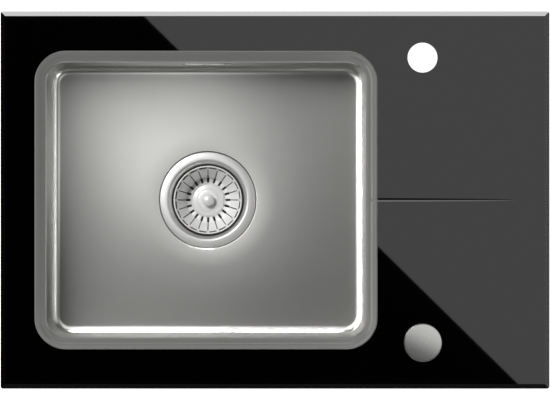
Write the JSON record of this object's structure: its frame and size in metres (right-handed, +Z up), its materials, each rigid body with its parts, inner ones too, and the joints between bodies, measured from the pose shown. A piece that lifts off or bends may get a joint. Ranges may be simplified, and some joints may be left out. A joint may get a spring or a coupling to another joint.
{
  "type": "kitchen sink",
  "caption": "Inset kitchen sink: faceted black glass plate with a pressed steel bowl, basket waste on a turning knob, overflow and worktop clips.",
  "frame": {"origin": "middle of the glass plate at the level of the worktop, on the underside of the foam seal", "axes": "+X along the plate from the bowl to the tap bank, +Y to the back where the tap stands, +Z up out of the worktop"},
  "size_m": [0.64, 0.44, 0.2855],
  "materials": {
    "black_glass": "polished, tinted black",
    "foam": "closed-cell foam",
    "bowl_steel": "satin, fine grain",
    "adhesive": "cured bead",
    "damping_pad": "matt",
    "clear_seal": "translucent rubber",
    "black_seal": "matt rubber",
    "bright_steel": "polished stainless steel",
    "satin_steel": "satin turned steel",
    "white_plastic": "moulded polypropylene",
    "grey_hose": "ribbed polypropylene",
    "black_plastic": "moulded nylon",
    "brass": "turned brass",
    "zinc_steel": "zinc plated",
    "screw_steel": "plain stainless"
  },
  "bodies": {
    "sink": {"glass_plate": "black_glass", "foam_seal": "foam", "bowl": "bowl_steel", "rim_bond": "adhesive", "sound_pads": "damping_pad", "flange_seal": "clear_seal", "strainer_cup": "bright_steel", "body_seal": "black_seal", "waste_housing": "white_plastic", "clamp_screw": "screw_steel", "lever_seal": "black_seal", "port_cap": "white_plastic", "control_bush": "zinc_steel", "bush_washer_top": "black_seal", "bush_washer_bottom": "black_seal", "control_nut": "black_plastic", "cable_box": "black_plastic", "cable_ferrules": "zinc_steel", "cable_sheath": "black_plastic", "overflow_cover": "bright_steel", "overflow_screw": "screw_steel", "overflow_seal": "black_seal", "overflow_elbow": "white_plastic", "overflow_hose": "grey_hose", "hose_clips": "zinc_steel", "stud_plates": "zinc_steel"},
    "knob": {"control_knob": "satin_steel", "knob_set_screw": "screw_steel", "knob_spindle": "brass"},
    "cable_slider": {"cable_slider": "brass"},
    "cable_core_end": {"cable_core_end": "screw_steel"},
    "lift_lever": {"lift_lever": "zinc_steel"},
    "lift_pin": {"lift_pin": "screw_steel"},
    "basket": {"basket": "bright_steel", "basket_button": "bright_steel", "basket_stem": "screw_steel", "basket_plug": "black_seal"},
    "clip_nut_1": {"clip_nut_1": "brass"},
    "clip_foot_1": {"clip_foot_1": "zinc_steel"},
    "clip_nut_2": {"clip_nut_2": "brass"},
    "clip_foot_2": {"clip_foot_2": "zinc_steel"},
    "clip_nut_3": {"clip_nut_3": "brass"},
    "clip_foot_3": {"clip_foot_3": "zinc_steel"},
    "clip_nut_4": {"clip_nut_4": "brass"},
    "clip_foot_4": {"clip_foot_4": "zinc_steel"}
  },
  "joints": [
    {"name": "knob_turn", "type": "hinge", "parent": "sink", "child": "knob", "pos_m": [0.172, -0.166, 0.015], "axis": [0, 0, -1], "range_deg": [0, 90]},
    {"name": "slider_rise", "type": "slide", "parent": "sink", "child": "cable_slider", "axis": [0, 0, 1], "range_m": [0, 0.011]},
    {"name": "core_pull", "type": "slide", "parent": "sink", "child": "cable_core_end", "axis": [0, -1, 0], "range_m": [0, 0.011]},
    {"name": "lever_turn", "type": "hinge", "parent": "sink", "child": "lift_lever", "pos_m": [-0.0805, 0.02, -0.2113], "axis": [-1, 0, 0], "range_deg": [0, 26.01]},
    {"name": "pin_rise", "type": "slide", "parent": "sink", "child": "lift_pin", "axis": [0, 0, 1], "range_m": [0, 0.009]},
    {"name": "basket_out", "type": "slide", "parent": "lift_pin", "child": "basket", "axis": [0, 0, 1], "range_m": [0, 0.225]},
    {"name": "clip_1_raise", "type": "slide", "parent": "sink", "child": "clip_nut_1", "axis": [0, 0, 1], "range_m": [0, 0.03]},
    {"name": "clip_1_swivel", "type": "hinge", "parent": "clip_nut_1", "child": "clip_foot_1", "pos_m": [0.225, 0.198, -0.048], "axis": [0, 0, 1], "range_deg": [0, 90]},
    {"name": "clip_2_raise", "type": "slide", "parent": "sink", "child": "clip_nut_2", "axis": [0, 0, 1], "range_m": [0, 0.03]},
    {"name": "clip_2_swivel", "type": "hinge", "parent": "clip_nut_2", "child": "clip_foot_2", "pos_m": [-0.225, 0.198, -0.048], "axis": [0, 0, -1], "range_deg": [0, 90]},
    {"name": "clip_3_raise", "type": "slide", "parent": "sink", "child": "clip_nut_3", "axis": [0, 0, 1], "range_m": [0, 0.03]},
    {"name": "clip_3_swivel", "type": "hinge", "parent": "clip_nut_3", "child": "clip_foot_3", "pos_m": [-0.225, -0.198, -0.048], "axis": [0, 0, 1], "range_deg": [0, 90]},
    {"name": "clip_4_raise", "type": "slide", "parent": "sink", "child": "clip_nut_4", "axis": [0, 0, 1], "range_m": [0, 0.03]},
    {"name": "clip_4_swivel", "type": "hinge", "parent": "clip_nut_4", "child": "clip_foot_4", "pos_m": [0.225, -0.198, -0.048], "axis": [0, 0, -1], "range_deg": [0, 90]}
  ],
  "couplings": [
    {"joint": "slider_rise", "follows": "knob_turn", "m_per_rad": 0.0070028},
    {"joint": "core_pull", "follows": "knob_turn", "m_per_rad": 0.0070028},
    {"joint": "lever_turn", "follows": "knob_turn", "ratio": 0.28895},
    {"joint": "pin_rise", "follows": "knob_turn", "m_per_rad": 0.0057296}
  ]
}
